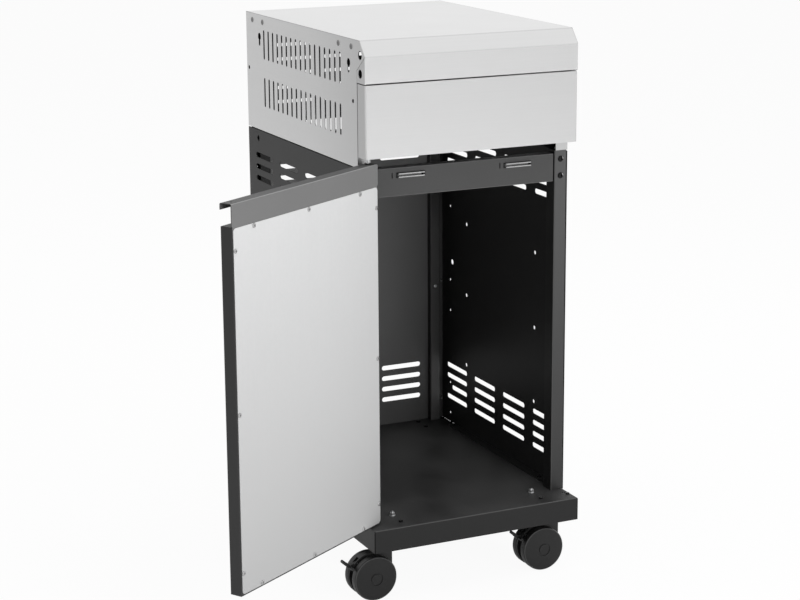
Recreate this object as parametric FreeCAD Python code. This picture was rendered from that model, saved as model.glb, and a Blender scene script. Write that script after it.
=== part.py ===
import FreeCAD, Part
import math
import os

# Outdoor kitchen cabinet: a stainless box and worktop on a black steel cabinet with one door, on casters.
# Millimetres. X runs to the right, Y to the back, Z up.
# The origin is on the floor under the middle of the base.
# The door is written closed and then swung open to the pose that it rests in.

# Whole cabinet
body_width = 380.0  # over the side panels
body_depth = 513.0  # front panel's face to the rear edge
base_nose = 21.0  # base pan in front of the front panel's face
post_height = 593.0  # deck to the underside of the stainless box
box_height = 203.0  # stainless box, lower edge to worktop
front_setback = 31.0  # post faces behind the front panel's face
caster_height = 127.8  # floor to the underside of the deck
skirt_height = 39.0  # folded edge of the base pan

# Sheet metal
steel = 1.2  # black sheet
stainless = 1.0
galvanised = 0.8
bend = 1.0  # inner radius of a folded edge
seam = 1.5  # open joint between two neighbouring sheets
edge_clearance = 0.5  # between sheet edges that only lie beside each other

# Worktop
chamfer_run = 20.0
chamfer_drop = 24.0
fascia_height = 43.0
fascia_lip = 10.0
mitre_drop = 24.0  # fall of the slanting joint at the worktop's ends
mitre_seam = 0.9
worktop_flange = 25.0  # folded down inside the side panels
worktop_rear_lip = 20.0
flange_relief = 5.0  # the flanges stop short of the bends by this much
nose_hole_radius = 7.0
nose_hole_inset = 17.5  # behind the front panel's face
nose_hole_depth = 23.0  # below the worktop
fascia_hole_depth = 52.0

# Stainless side panels
side_front_flange = 21.0
side_bottom_flange = 20.0
side_rear_flange = 15.0
side_slot_columns = 17
side_slot_pitch = 20.75
side_slot_width = 6.0
side_slot_length = 51.0
side_slot_depths = (51.0, 134.0)  # middles of the two rows below the worktop
side_slot_centre = 17.0  # middle of the rows behind the cabinet's middle
keyhole_front = 62.5  # behind the front panel's face
keyhole_rear = 63.0  # in front of the rear edge
keyhole_depth = 38.5  # head below the worktop
keyhole_head_radius = 6.5
keyhole_tail_radius = 3.5
keyhole_tail = 12.5
link_hole_front = 46.4
link_hole_rear = 10.0
link_hole_depth = 98.0
link_hole_radius = 3.5

# Box back panel
back_slot_rows = 5
back_slot_pitch = 25.5
back_slot_depth = 63.0  # top row below the worktop
back_slot_height = 6.0
back_slot_spans = ((-138.0, -66.0), (-47.0, 47.0), (66.0, 138.0))

# Front panel
panel_lift = 18.0  # lower edge above the posts
panel_bend = 2.0
panel_end_flange = 14.0
panel_bottom_flange = 26.0
panel_top_flange = 12.0

# Posts
post_width = 24.0
post_return = 27.0
post_flange = 20.0
post_tab_clearance = 0.4
foot_tab_setback = 12.0  # clear of the caster bolt beside it
rear_post_width = 20.0
rear_post_depth = 12.8
rear_post_inset = 31.5  # inner side from the side wall's outside
back_inset = 10.0  # back panel in front of the rear edge

# Side walls, back panel and their vents
wall_gap = 2.0  # open joint between a wall and the stainless box
wall_flange = 8.0  # folded in along a wall's upper edge, between the posts
wall_flange_clearance = 3.0  # from the posts
wall_foot = 16.0
wall_foot_front = 62.0  # start of the foot behind the front panel's face
wall_foot_rear = 67.0  # end of the foot in front of the rear edge
wall_foot_screw_front = 100.0  # behind the front panel's face
wall_foot_screw_rear = 77.0  # in front of the rear edge
vent_length = 82.0
vent_height = 9.0
vent_row_pitch = 20.6
low_vent_rows = 4
high_vent_rows = 3
vent_columns = 4
vent_column_pitch = 113.0
vent_centre = 22.5  # middle of the columns behind the cabinet's middle
low_vent_height = 49.3  # lowest row above the deck
high_vent_depth = 47.0  # top row below the posts' tops
shelf_hole_radius = 3.5
shelf_hole_spacing_y = 262.0
shelf_hole_spacing_z = 134.0
shelf_hole_centre_height = 262.6  # middle of the grid above the deck
rear_hole_radius = 2.5
rear_hole_inset = 46.5  # in front of the rear edge
rear_hole_heights = (17.8, 77.4, 219.2, 278.5, 419.3)  # above the deck
top_hole_radius = 5.5
top_hole_drop = 17.0  # below the posts' tops
hose_hole_radius = 5.0
hose_hole_inset = 54.3
hose_hole_height = 313.8
back_panel_drop = 19.0  # top edge below the posts' tops
back_vent_length = 80.0
back_vent_pitch = 102.0
back_vent_columns = 3
back_vent_depth = 39.4  # top row below the back panel's top edge

# Front rail and magnetic catches
rail_height = 47.0
rail_drop = 5.0  # below the posts' tops
rail_flange = 20.0
rail_tab = 20.0
rail_tab_inset = 2.0
rail_notch_clearance = 0.5
catch_spacing = 194.0
catch_drop = 17.5  # below the posts' tops
catch_slot_length = 52.0
catch_slot_height = 9.0
catch_clearance = 0.3
catch_body_length = 60.0
catch_body_height = 14.0
catch_body_depth = 15.0
pole_length = 46.0
pole_thickness = 1.8
pole_gap = 3.4
magnet_setback = 4.0
magnet_length = 42.0
clip_slot_width = 2.0
clip_slot_offset = 32.5

# Door
door_side_gap = 1.5
door_depth = 22.0
closed_gap = 4.0  # closed door's inner face to the post faces
catch_gap = 0.5  # closed door to the catch plates
door_floor_gap = 2.5
pan_drop = 25.0  # pan's top below the posts' tops
return_width = 12.0
handle_rise = 34.0
handle_tail = 17.0
handle_lip = 10.0
handle_bend = 1.2
handle_hole_radius = 2.0
handle_hole_inset = 14.0
liner_margin = 2.5
liner_corner = 6.0
liner_screw_inset = 6.0  # from the pan's edges
liner_screw_corner_x = 51.5  # end screws from the pan's corners
liner_screw_corner_z = 35.75
open_angle = 148.1

# Door hinge
hinge_inset = 8.0  # axis from the door's edge and from its face
pin_radius = 3.0
running_fit = 0.05
axial_gap = 0.3
pin_head_radius = 5.5
pin_head = 3.0
pin_reach = 7.0  # past the sheet that it holds
bush_radius = 4.2
bush_flange_radius = 5.5
bush_flange = 1.2
bush_sleeve = 3.0
press_clearance = 0.05

# Casters
wheel_radius = 38.0
wheel_width = 17.0
wheel_gap = 14.0  # between the two wheels
wheel_shoulder = 3.0
wheel_dome = 2.0
hub_ring_radius = 10.0
hub_ring_width = 1.6
hub_ring_depth = 1.0
hub_face_radius = 19.0
caster_trail = 22.0
caster_inset_x = 32.5
caster_inset_y = 41.6
plate_length = 60.0
plate_width = 43.0
plate_thickness = 2.8
plate_bolts_x = 52.0
plate_bolts_y = 34.0
race_radius = 16.0
race_height = 6.0
race_gap = 0.4
kingpin_radius = 5.0
neck_radius = 14.5
neck_clearance = 2.0  # neck above the wheels
web_clearance = 1.0  # web beside the wheels
web_radius = 31.0
guard_margin = 3.0  # guard past the wheels' tread
guard_from = 35.0
guard_to = 148.0
axle_radius = 4.0
axle_inset = 1.5  # axle ends inside the wheels' outer faces

# Brake levers on the front casters, placed from the wheels' axle
lever_pivot_angle = 136.0
lever_pivot_reach = 36.0
lever_knee_angle = 152.0
lever_knee_reach = 43.5
lever_tip_x = -50.5
lever_tip_z = 31.0
lever_width = 7.0
lever_slot_clearance = 0.4
lever_link_radius = 3.2
lever_tab_radius = 2.6
lever_room_above = 9.0
lever_room_below = 15.0
lever_pin_radius = 2.0
brake_bar_radius = 2.6
brake_bar_length = 30.0

# Fasteners
bolt_radius = 2.4
bolt_head_radius = 3.8
bolt_head = 2.4
bolt_hole_clearance = 0.2
nut_radius = 4.4
nut_height = 4.0
bolt_tail = 6.0  # past the lowest sheet
screw_radius = 2.0
screw_head_radius = 3.6
screw_head = 1.6
screw_reach = 7.0
rail_bolt_head_radius = 5.2
rail_bolt_head = 2.4
rail_bolt_spacing = 28.0
rivet_radius = 2.0
rivet_head_radius = 4.8
rivet_head = 1.2
rivet_depth = 12.4  # below the worktop
rivet_fronts = (52.0, 103.0)  # behind the front panel's face
rivet_rears = (30.0, 78.0)  # in front of the rear edge
panel_screw_heights = (25.0, 95.0)  # above the front panel's lower edge
back_screw_heights = (40.0, 270.0, 520.0)
post_screw_height = 263.0

# Places that follow from the sizes
half = body_width / 2
inner_half = half - stainless
wall_inside = half - steel
base_front = -(body_depth + base_nose) / 2
rear_y = (body_depth + base_nose) / 2
face_y = base_front + base_nose
post_y = face_y + front_setback
deck_z = caster_height + steel
skirt_z = deck_z - skirt_height
post_top = deck_z + post_height
top_z = post_top + box_height
nose_z = top_z - chamfer_drop
fascia_z = nose_z - fascia_height
panel_z = post_top + panel_lift
back_face = rear_y - back_inset - steel
rail_y = post_y + steel
rail_top = post_top - rail_drop
rail_bottom = rail_top - rail_height
catch_z = post_top - catch_drop
post_inside = half - post_width
door_left = -half + door_side_gap
door_right = half - door_side_gap
door_in = post_y - closed_gap
door_out = door_in - door_depth
liner_back = door_in - galvanised
door_bottom = deck_z + door_floor_gap
pan_top = post_top - pan_drop
handle_top = pan_top + handle_rise
hinge_x = door_left + hinge_inset
hinge_y = door_out + hinge_inset
swivel_x = half - caster_inset_x
swivel_y = rear_y - caster_inset_y
plate_z = caster_height - plate_thickness
axle_z = wheel_radius
wheel_outside = wheel_gap / 2 + wheel_width
neck_z = 2 * wheel_radius + neck_clearance
race_z = plate_z - race_height

UP = FreeCAD.Vector(0, 0, 1)
ALONG = {"x": FreeCAD.Vector(1, 0, 0), "y": FreeCAD.Vector(0, 1, 0), "z": UP}


def at(axis, u, v, w):
    """A point given by its two places in a section and its place along the section's axis."""
    places = {"x": (w, u, v), "y": (u, w, v), "z": (u, v, w)}
    return FreeCAD.Vector(*places[axis])


def box(x0, x1, y0, y1, z0, z1):
    return Part.makeBox(x1 - x0, y1 - y0, z1 - z0, FreeCAD.Vector(x0, y0, z0))


def rod(axis, radius, u, v, low, high):
    return Part.makeCylinder(radius, high - low, at(axis, u, v, low), ALONG[axis])


def extruded(edges, axis, low, high):
    return Part.Face(Part.Wire(edges)).extrude(ALONG[axis] * (high - low))


def prism(points, axis, low, high):
    corners = [at(axis, u, v, low) for u, v in points]
    return Part.Face(Part.makePolygon(corners + corners[:1])).extrude(ALONG[axis] * (high - low))


def slot(axis, start, end, radius, low, high):
    """A round-ended slot from one centre to another, cut along the axis."""
    run = math.hypot(end[0] - start[0], end[1] - start[1])
    du = (end[0] - start[0]) / run * radius
    dv = (end[1] - start[1]) / run * radius
    sides = [(-dv, du), (dv, -du)]
    a, b = [at(axis, start[0] + u, start[1] + v, low) for u, v in sides]
    c, d = [at(axis, end[0] + u, end[1] + v, low) for u, v in reversed(sides)]
    near = at(axis, start[0] - du, start[1] - dv, low)
    far = at(axis, end[0] + du, end[1] + dv, low)
    edges = [
        Part.Arc(a, near, b).toShape(),
        Part.LineSegment(b, c).toShape(),
        Part.Arc(c, far, d).toShape(),
        Part.LineSegment(d, a).toShape(),
    ]
    return extruded(edges, axis, low, high)


def unit(a, b):
    length = math.hypot(b[0] - a[0], b[1] - a[1])
    return ((b[0] - a[0]) / length, (b[1] - a[1]) / length)


def middle_line(points, thickness):
    """The line half a thickness to the left of the points, with its corners mitred."""
    ways = [unit(a, b) for a, b in zip(points, points[1:])]
    ways = [ways[0]] + ways + [ways[-1]]
    line = []
    for (u, v), before, after in zip(points, ways, ways[1:]):
        share = 1 + before[0] * after[0] + before[1] * after[1]
        side_u = -(before[1] + after[1]) / share
        side_v = (before[0] + after[0]) / share
        line.append((u + side_u * thickness / 2, v + side_v * thickness / 2))
    return line


def bent_side(line, radius, offset):
    """One face of a folded sheet: its start, then each bend as two ends and a middle, then its end."""
    ways = [unit(a, b) for a, b in zip(line, line[1:])]
    shift = [(-v * offset, u * offset) for u, v in ways]
    bends = []
    for corner, before, after, shift_in, shift_out in zip(line[1:], ways, ways[1:], shift, shift[1:]):
        sine = before[0] * after[1] - before[1] * after[0]
        turn = math.atan2(sine, before[0] * after[0] + before[1] * after[1])
        trim = radius * math.tan(abs(turn) / 2)
        start = (corner[0] - before[0] * trim, corner[1] - before[1] * trim)
        end = (corner[0] + after[0] * trim, corner[1] + after[1] * trim)
        side = math.copysign(1, turn)
        centre = (start[0] - before[1] * radius * side, start[1] + before[0] * radius * side)
        out = unit(centre, corner)
        reach = radius - side * offset
        middle = (centre[0] + out[0] * reach, centre[1] + out[1] * reach)
        first = (start[0] + shift_in[0], start[1] + shift_in[1])
        last = (end[0] + shift_out[0], end[1] + shift_out[1])
        bends.append((first, middle, last))
    begin = (line[0][0] + shift[0][0], line[0][1] + shift[0][1])
    finish = (line[-1][0] + shift[-1][0], line[-1][1] + shift[-1][1])
    return begin, bends, finish


def folded(points, thickness, radius, axis, low, high):
    """A folded sheet whose outer face runs through the points, with its metal on their left."""
    line = middle_line(points, thickness)
    right_face = bent_side(line, radius + thickness / 2, -thickness / 2)
    left_face = bent_side(line, radius + thickness / 2, thickness / 2)
    path = [right_face[0]]
    arcs = []
    for first, middle, last in right_face[1]:
        arcs.append((len(path), middle))
        path += [first, last]
    path += [right_face[2], left_face[2]]
    for last, middle, first in reversed(left_face[1]):
        arcs.append((len(path), middle))
        path += [first, last]
    path.append(left_face[0])
    middles = dict(arcs)
    corners = [at(axis, u, v, low) for u, v in path]
    edges = []
    for index, (a, b) in enumerate(zip(corners, corners[1:] + corners[:1])):
        if index in middles:
            edges.append(Part.Arc(a, at(axis, *middles[index], low), b).toShape())
        else:
            edges.append(Part.LineSegment(a, b).toShape())
    return extruded(edges, axis, low, high)


def joined(first, *others):
    return first.fuse(others).removeSplitter()


def rounded(shape, radius, chosen):
    """The shape with a fillet on each edge whose middle passes the test."""
    return shape.makeFillet(radius, [edge for edge in shape.Edges if chosen(edge.CenterOfMass)])


def near(a, b):
    return abs(a - b) < 0.01


def mirrored(shape):
    return shape.mirror(FreeCAD.Vector(0, 0, 0), ALONG["x"])


def both_sides(shapes):
    return shapes + [mirrored(shape) for shape in shapes]


def save(node, shape):
    shape.exportStep("parts/" + node + ".step")
    verdict = "valid" if shape.isValid() else "NOT VALID"
    print(node, len(shape.Solids), "solids", round(shape.Volume), "mm3", verdict)


def save_group(node, shapes):
    save(node, Part.makeCompound(shapes))


def save_pair(node, right):
    save("right_" + node, right)
    save("left_" + node, mirrored(right))


def headed(axis, radius, head_radius, head, u, v, seat, tip):
    """A bolt or screw with a rounded head on its seat and its shank running to the tip."""
    out = math.copysign(1, seat - tip)
    crown = seat + out * head
    body = rod(axis, head_radius, u, v, min(seat, crown), max(seat, crown))
    body = rounded(body, head * 0.6, lambda p: near(getattr(p, axis), crown))
    return joined(body, rod(axis, radius, u, v, min(seat, tip), max(seat, tip)))


def hole(axis, radius, u, v, low, high):
    return rod(axis, radius + bolt_hole_clearance, u, v, low - 1, high + 1)


# Places that several pieces share
side_slot_steps = [i - (side_slot_columns - 1) / 2 for i in range(side_slot_columns)]
side_slot_ys = [side_slot_centre + step * side_slot_pitch for step in side_slot_steps]
rivet_ys = [face_y + inset for inset in rivet_fronts] + [rear_y - inset for inset in rivet_rears]
caster_centres = {
    "front_left": (-swivel_x, -swivel_y),
    "front_right": (swivel_x, -swivel_y),
    "rear_left": (-swivel_x, swivel_y),
    "rear_right": (swivel_x, swivel_y),
}
plate_corners = [(u * plate_bolts_x / 2, v * plate_bolts_y / 2) for u in (-1, 1) for v in (-1, 1)]
caster_bolt_places = [(x + u, y + v) for x, y in caster_centres.values() for u, v in plate_corners]
front_tab = (post_inside + steel, wall_inside - steel, post_y + steel, post_y + post_return)
rear_post_x = half - rear_post_inset
rear_post_y = back_face - rear_post_depth
rear_tab = (rear_post_x + steel, rear_post_x + rear_post_width - steel, rear_post_y + steel, back_face)
front_foot_screw = ((front_tab[0] + front_tab[1]) / 2, post_y + (foot_tab_setback + post_return) / 2)
rear_foot_screw = ((rear_tab[0] + rear_tab[1]) / 2, (rear_tab[2] + rear_tab[3]) / 2)
wall_foot_screws = [
    (wall_inside - wall_foot / 2, face_y + wall_foot_screw_front),
    (wall_inside - wall_foot / 2, rear_y - wall_foot_screw_rear),
]
foot_screw_places = [front_foot_screw, rear_foot_screw] + wall_foot_screws
front_box_bolt = (front_foot_screw[0], post_y + post_return / 2)
rear_box_bolt = ((inner_half - side_bottom_flange + rear_tab[1]) / 2, rear_foot_screw[1])
rail_bolt_x = (post_inside + wall_inside) / 2
rail_middle = (rail_top + rail_bottom) / 2
rail_bolt_zs = [rail_middle + sign * rail_bolt_spacing / 2 for sign in (-1, 1)]
panel_screw_x = inner_half - panel_end_flange / 2
back_screw_x = (rear_post_x + rear_post_width + wall_inside) / 2
hinge_places = [(hinge_x, hinge_y), (-hinge_x, hinge_y)]
low_rows = [deck_z + low_vent_height + i * vent_row_pitch for i in range(low_vent_rows)]
high_rows = [post_top - high_vent_depth - i * vent_row_pitch for i in range(high_vent_rows)]
back_top = post_top - back_panel_drop
back_high_rows = [back_top - back_vent_depth - i * vent_row_pitch for i in range(high_vent_rows)]


def worktop():
    profile = [
        (rear_y, top_z - worktop_rear_lip),
        (rear_y, top_z),
        (face_y + chamfer_run, top_z),
        (face_y, nose_z),
        (face_y, fascia_z),
        (face_y + fascia_lip, fascia_z),
    ]
    sheet = folded(profile, stainless, bend, "x", -inner_half, inner_half)
    flange_front = face_y + chamfer_run + flange_relief
    flange_rear = rear_y - 2 * stainless - flange_relief
    flange_z = top_z - worktop_flange
    flange = box(inner_half - stainless, inner_half, flange_front, flange_rear, flange_z, top_z - stainless)
    end_rear = post_y - edge_clearance
    end_slope = mitre_drop / front_setback * (end_rear - face_y)
    end_outline = [
        (face_y, nose_z - mitre_seam),
        (face_y, fascia_z),
        (end_rear, fascia_z),
        (end_rear, nose_z - mitre_seam - end_slope),
    ]
    end = prism(end_outline, "x", inner_half, half)
    end_hole = (face_y + nose_hole_inset, top_z - fascia_hole_depth)
    end = end.cut(rod("x", nose_hole_radius, *end_hole, 0, body_width))
    corner_y = (face_y, face_y + fascia_lip)
    corner = box(inner_half - stainless, inner_half, *corner_y, fascia_z, fascia_z + fascia_lip)
    end = end.fuse(corner)
    sheet = joined(sheet, *both_sides([flange, end]))
    sheet = rounded(sheet, stainless * 0.7, lambda p: near(abs(p.x), half) and near(p.y, face_y))
    rivet_holes = [hole("x", rivet_radius, y, top_z - rivet_depth, -half, half) for y in rivet_ys]
    return sheet.cut(rivet_holes)


def side_panel():
    outline = [
        (rear_y, post_top),
        (rear_y, top_z),
        (face_y + chamfer_run, top_z),
        (face_y, nose_z),
        (post_y, nose_z - mitre_drop),
        (post_y, post_top),
    ]
    sheet = prism(outline, "x", inner_half, half)
    front = box(inner_half - side_front_flange, inner_half, post_y, post_y + stainless, post_top, fascia_z)
    bottom_end = rear_y - stainless
    bottom_y = post_y + stainless
    bottom_x = inner_half - side_bottom_flange
    bottom = box(bottom_x, inner_half, bottom_y, bottom_end, post_top, post_top + stainless)
    rear_top = top_z - worktop_rear_lip - seam
    rear = box(inner_half - side_rear_flange, inner_half, bottom_end, rear_y, post_top, rear_top)
    reach = (inner_half - stainless, half + stainless)
    cuts = [rod("x", nose_hole_radius, face_y + nose_hole_inset, top_z - nose_hole_depth, *reach)]
    straight = (side_slot_length - side_slot_width) / 2
    for depth in side_slot_depths:
        for y in side_slot_ys:
            ends = ((y, top_z - depth - straight), (y, top_z - depth + straight))
            cuts.append(slot("x", *ends, side_slot_width / 2, *reach))
    head_z = top_z - keyhole_depth
    for y in (face_y + keyhole_front, rear_y - keyhole_rear):
        cuts.append(rod("x", keyhole_head_radius, y, head_z, *reach))
        cuts.append(slot("x", (y, head_z), (y, head_z - keyhole_tail), keyhole_tail_radius, *reach))
    for y in (face_y + link_hole_front, rear_y - link_hole_rear):
        cuts.append(rod("x", link_hole_radius, y, top_z - link_hole_depth, *reach))
    cuts += [hole("x", rivet_radius, y, top_z - rivet_depth, inner_half, half) for y in rivet_ys]
    for x, y in (front_box_bolt, rear_box_bolt):
        cuts.append(hole("z", bolt_radius, x, y, post_top, post_top + stainless))
    for height in panel_screw_heights:
        cuts.append(hole("y", screw_radius, panel_screw_x, panel_z + height, post_y, post_y + stainless))
    return joined(sheet, front, bottom, rear).cut(cuts)


def box_back_panel():
    edge = inner_half - edge_clearance
    top = top_z - stainless - bend - edge_clearance
    sheet = box(-edge, edge, rear_y - 2 * stainless, rear_y - stainless, post_top + stainless, top)
    radius = back_slot_height / 2
    cuts = []
    for row in range(back_slot_rows):
        z = top_z - back_slot_depth - row * back_slot_pitch
        for left, right in back_slot_spans:
            ends = ((left + radius, z), (right - radius, z))
            cuts.append(slot("y", *ends, radius, rear_y - 3 * stainless, rear_y))
    return sheet.cut(cuts)


def front_panel():
    end_x = inner_half - panel_end_flange
    left_end = [(-end_x, post_y), (-half, post_y), (-half, face_y)]
    outline = left_end + [(-x, y) for x, y in reversed(left_end)]
    top = fascia_z - seam
    sheet = folded(outline, stainless, panel_bend, "z", panel_z, top)
    lip = inner_half - panel_bend
    inside = face_y + stainless
    bottom = box(-lip, lip, inside, inside + panel_bottom_flange, panel_z, panel_z + stainless)
    upper = box(-lip, lip, inside, inside + panel_top_flange, top - stainless, top)
    cuts = [rod("z", pin_radius + running_fit, x, y, panel_z - 1, panel_z + 2) for x, y in hinge_places]
    for height in panel_screw_heights:
        for x in (-panel_screw_x, panel_screw_x):
            cuts.append(hole("y", screw_radius, x, panel_z + height, post_y - stainless, post_y))
    return joined(sheet, bottom, upper).cut(cuts)


def side_wall():
    wall_top = post_top - wall_gap
    sheet = box(wall_inside, half, post_y, rear_y, deck_z, wall_top)
    run = (post_y + post_return + wall_flange_clearance, back_face - steel - wall_flange_clearance)
    flange = box(wall_inside - wall_flange, wall_inside, *run, wall_top - steel, wall_top)
    foot_front = face_y + wall_foot_front
    foot_rear = rear_y - wall_foot_rear
    foot = box(wall_inside - wall_foot, wall_inside, foot_front, foot_rear, deck_z, deck_z + steel)
    reach = (wall_inside - 1, half + 1)
    radius = vent_height / 2
    rear_hole_y = rear_y - rear_hole_inset
    rear_hole_zs = [deck_z + height for height in rear_hole_heights]
    cuts = []
    for z in low_rows + high_rows:
        crowded = any(abs(z - other) < radius + 2 * rear_hole_radius for other in rear_hole_zs)
        for column in range(vent_columns):
            middle = vent_centre + (column - (vent_columns - 1) / 2) * vent_column_pitch
            front = middle - vent_length / 2
            rear = middle + vent_length / 2
            if crowded:
                rear = min(rear, rear_hole_y - 3 * rear_hole_radius)
            cuts.append(slot("x", (front + radius, z), (rear - radius, z), radius, *reach))
    for step in (-1, 0, 1):
        z = deck_z + shelf_hole_centre_height + step * shelf_hole_spacing_z
        for side in (-1, 1):
            y = vent_centre + side * shelf_hole_spacing_y / 2
            cuts.append(rod("x", shelf_hole_radius, y, z, *reach))
    cuts += [rod("x", rear_hole_radius, rear_hole_y, z, *reach) for z in rear_hole_zs]
    cuts.append(rod("x", top_hole_radius, rear_hole_y, post_top - top_hole_drop, *reach))
    cuts.append(rod("x", hose_hole_radius, rear_y - hose_hole_inset, deck_z + hose_hole_height, *reach))
    cuts += [hole("z", screw_radius, x, y, deck_z, deck_z + steel) for x, y in wall_foot_screws]
    return joined(sheet, flange, foot).cut(cuts)


def front_post():
    outline = [
        (post_inside, post_y + post_return),
        (post_inside, post_y),
        (wall_inside, post_y),
        (wall_inside, post_y + post_flange),
    ]
    sheet = folded(outline, steel, bend, "z", deck_z, post_top)
    x0, x1, y0, y1 = front_tab
    gap = post_tab_clearance
    head = box(x0, x1, y0 + gap, y1, post_top - steel, post_top)
    foot = box(x0, x1, post_y + foot_tab_setback, y1, deck_z, deck_z + steel)
    notch_z = (rail_bottom - rail_notch_clearance, rail_top + rail_notch_clearance)
    notch_y = (rail_y, rail_y + steel + rail_notch_clearance)
    cuts = [box(post_inside - 1, x0 + bend, *notch_y, *notch_z)]
    cuts += [hole("y", bolt_radius, rail_bolt_x, z, post_y, rail_y) for z in rail_bolt_zs]
    cuts.append(hole("z", screw_radius, *front_foot_screw, deck_z, deck_z + steel))
    cuts.append(hole("z", bolt_radius, *front_box_bolt, post_top - steel, post_top))
    return joined(sheet, head, foot).cut(cuts)


def rear_post():
    outer = rear_post_x + rear_post_width
    flange_y = back_face - steel
    outline = [
        (rear_post_x, back_face),
        (rear_post_x, rear_post_y),
        (outer, rear_post_y),
        (outer, flange_y),
        (wall_inside, flange_y),
    ]
    sheet = folded(outline, steel, bend, "z", deck_z, post_top)
    x0, x1, y0, y1 = rear_tab
    head = box(x0, x1, y0, y1, post_top - steel, post_top)
    foot = box(x0, x1, y0, y1, deck_z, deck_z + steel)
    back_screw_zs = [deck_z + height for height in back_screw_heights]
    cuts = [hole("y", screw_radius, back_screw_x, z, flange_y, back_face) for z in back_screw_zs]
    cuts.append(hole("z", screw_radius, *rear_foot_screw, deck_z, deck_z + steel))
    cuts.append(hole("z", bolt_radius, *rear_box_bolt, post_top - steel, post_top))
    screw_place = (rear_foot_screw[0], deck_z + post_screw_height)
    cuts.append(hole("y", screw_radius, *screw_place, rear_post_y, rear_post_y + steel))
    return joined(sheet, head, foot).cut(cuts)


def back_panel():
    edge = wall_inside - edge_clearance
    sheet = box(-edge, edge, back_face, back_face + steel, deck_z, back_top)
    radius = vent_height / 2
    straight = back_vent_length / 2 - radius
    reach = (back_face - 1, back_face + steel + 1)
    cuts = []
    for z in low_rows + back_high_rows:
        for column in range(back_vent_columns):
            x = (column - (back_vent_columns - 1) / 2) * back_vent_pitch
            cuts.append(slot("y", (x - straight, z), (x + straight, z), radius, *reach))
    for height in back_screw_heights:
        for x in (-back_screw_x, back_screw_x):
            cuts.append(hole("y", screw_radius, x, deck_z + height, back_face, back_face + steel))
    return sheet.cut(cuts)


def front_rail():
    outline = [
        (rail_y + rail_flange, rail_top),
        (rail_y, rail_top),
        (rail_y, rail_bottom),
        (rail_y + rail_flange, rail_bottom),
    ]
    end = post_inside - edge_clearance
    sheet = folded(outline, steel, bend, "x", -end, end)
    tab_z = (rail_bottom + rail_tab_inset + bend, rail_top - rail_tab_inset - bend)
    tab = box(end, post_inside + rail_tab, rail_y, rail_y + steel, *tab_z)
    cuts = []
    for sign in (-1, 1):
        x = sign * catch_spacing / 2
        length = catch_slot_length / 2
        height = catch_slot_height / 2
        slot_room = (rail_y - 1, rail_y + steel + 1, catch_z - height, catch_z + height)
        cuts.append(box(x - length, x + length, *slot_room))
        clip = x - clip_slot_offset
        width = clip_slot_width / 2
        cuts.append(box(clip - width, clip + width, *slot_room))
        for z in rail_bolt_zs:
            cuts.append(hole("y", bolt_radius, sign * rail_bolt_x, z, rail_y, rail_y + steel))
    return joined(sheet, *both_sides([tab])).cut(cuts)


def catch_pieces():
    """The housing, the two steel plates and the magnet of the right-hand catch."""
    x = catch_spacing / 2
    back = rail_y + steel
    length = catch_body_length / 2
    body_z = (catch_z - catch_body_height / 2, catch_z + catch_body_height / 2)
    body = box(x - length, x + length, back, back + catch_body_depth, *body_z)
    nose = catch_slot_length / 2 - catch_clearance
    nose_height = catch_slot_height / 2 - catch_clearance
    snout = box(x - nose, x + nose, rail_y, back, catch_z - nose_height, catch_z + nose_height)
    plate_front = door_in + catch_gap
    plate_back = back + catch_body_depth - 2 * steel
    plate_half = pole_length / 2
    inner = pole_gap / 2
    outer = inner + pole_thickness
    upper = box(x - plate_half, x + plate_half, plate_front, plate_back, catch_z + inner, catch_z + outer)
    lower = box(x - plate_half, x + plate_half, plate_front, plate_back, catch_z - outer, catch_z - inner)
    magnet_half = magnet_length / 2
    magnet_room = (rail_y + magnet_setback, plate_back, catch_z - inner, catch_z + inner)
    magnet = box(x - magnet_half, x + magnet_half, *magnet_room)
    pocket = box(x - plate_half, x + plate_half, rail_y - 1, plate_back, catch_z - outer, catch_z + outer)
    housing = joined(body, snout).cut(pocket)
    return housing, Part.makeCompound([upper, lower]), magnet


def base_pan():
    fold = bend + steel
    outside = box(-half, half, base_front, rear_y, skirt_z, deck_z)
    outside = rounded(outside, fold, lambda p: near(p.z, deck_z))
    hollow = box(-wall_inside, wall_inside, base_front + steel, rear_y - steel, skirt_z - 1, deck_z - steel)
    hollow = rounded(hollow, bend, lambda p: near(p.z, deck_z - steel))
    under = deck_z - steel
    cuts = [hollow]
    for slit_y in (base_front + steel, rear_y - steel - edge_clearance):
        slit_z = (skirt_z - 1, deck_z - 2 * fold)
        cuts.append(box(-half - 1, half + 1, slit_y, slit_y + edge_clearance, *slit_z))
    cuts += [hole("z", bolt_radius, x, y, under, deck_z) for x, y in caster_bolt_places]
    for x, y in foot_screw_places:
        cuts += [hole("z", screw_radius, side * x, y, under, deck_z) for side in (-1, 1)]
    cuts += [rod("z", pin_radius + running_fit, x, y, under - 1, deck_z + 1) for x, y in hinge_places]
    return outside.cut(cuts)


def swung_open(shape):
    opened = shape.copy()
    opened.rotate(FreeCAD.Vector(hinge_x, hinge_y, 0), UP, -open_angle)
    return opened


def liner_screw_places():
    middle_z = (door_bottom + pan_top) / 2
    span_x = door_right - liner_screw_corner_x
    span_z = (pan_top - door_bottom) / 2 - liner_screw_corner_z
    edge_x = door_right - liner_screw_inset
    top = pan_top - liner_screw_inset
    bottom = door_bottom + liner_screw_inset
    steps = (-1, 0, 1)
    rows = [(step * span_x, z) for z in (bottom, top) for step in steps]
    columns = [(x, middle_z + step * span_z) for x in (-edge_x, edge_x) for step in steps]
    return rows + columns


def bush_hole(z):
    """The hole for a hinge bush through a sheet whose middle is at this height."""
    return rod("z", bush_radius + press_clearance, hinge_x, hinge_y, z - steel, z + steel)


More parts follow.
